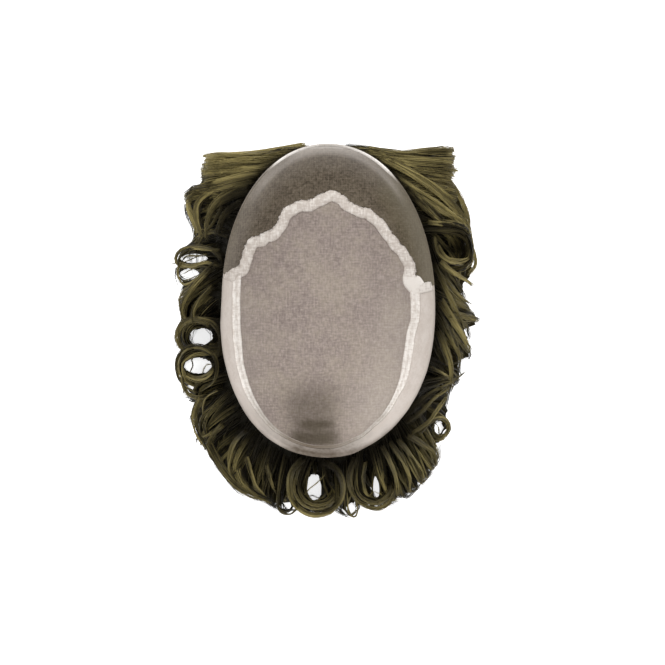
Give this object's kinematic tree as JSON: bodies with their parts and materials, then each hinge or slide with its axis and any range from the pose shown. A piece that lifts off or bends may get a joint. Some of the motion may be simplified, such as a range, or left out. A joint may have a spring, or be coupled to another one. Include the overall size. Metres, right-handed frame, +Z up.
{
  "type": "toupee hairpiece",
  "caption": "Men's toupee lying crown down on its hair: open bowl-shaped lace, mono and film cap with a scalloped seam, ringed by wavy locks.",
  "frame": {"origin": "middle of the whole outline, on the surface that the pressed hair rests on", "axes": "+Y towards the front hairline, +X towards the right of the cap seen from its open side, +Z up out of the cap"},
  "size_m": [0.2166, 0.2676, 0.0704],
  "materials": {
    "mono": "fine woven monofilament net, matt",
    "lace": "sheer lace with dark hair behind it, matt",
    "ribbon": "frayed woven seam ribbon, matt",
    "film": "translucent skin-like film, satin",
    "tape": "folded woven edging tape, satin",
    "hair": "wavy dark brown hair with olive lights, glossy strands"
  },
  "bodies": {
    "root": {"mono_top": "mono", "front_lace": "lace", "perimeter_film": "film", "scallop_ribbon": "ribbon", "inner_tape": "tape", "front_binding": "tape", "hair_crown": "hair", "hair_front_left": "hair", "hair_left": "hair", "hair_back": "hair", "hair_right": "hair", "hair_front_right": "hair"}
  },
  "joints": []
}
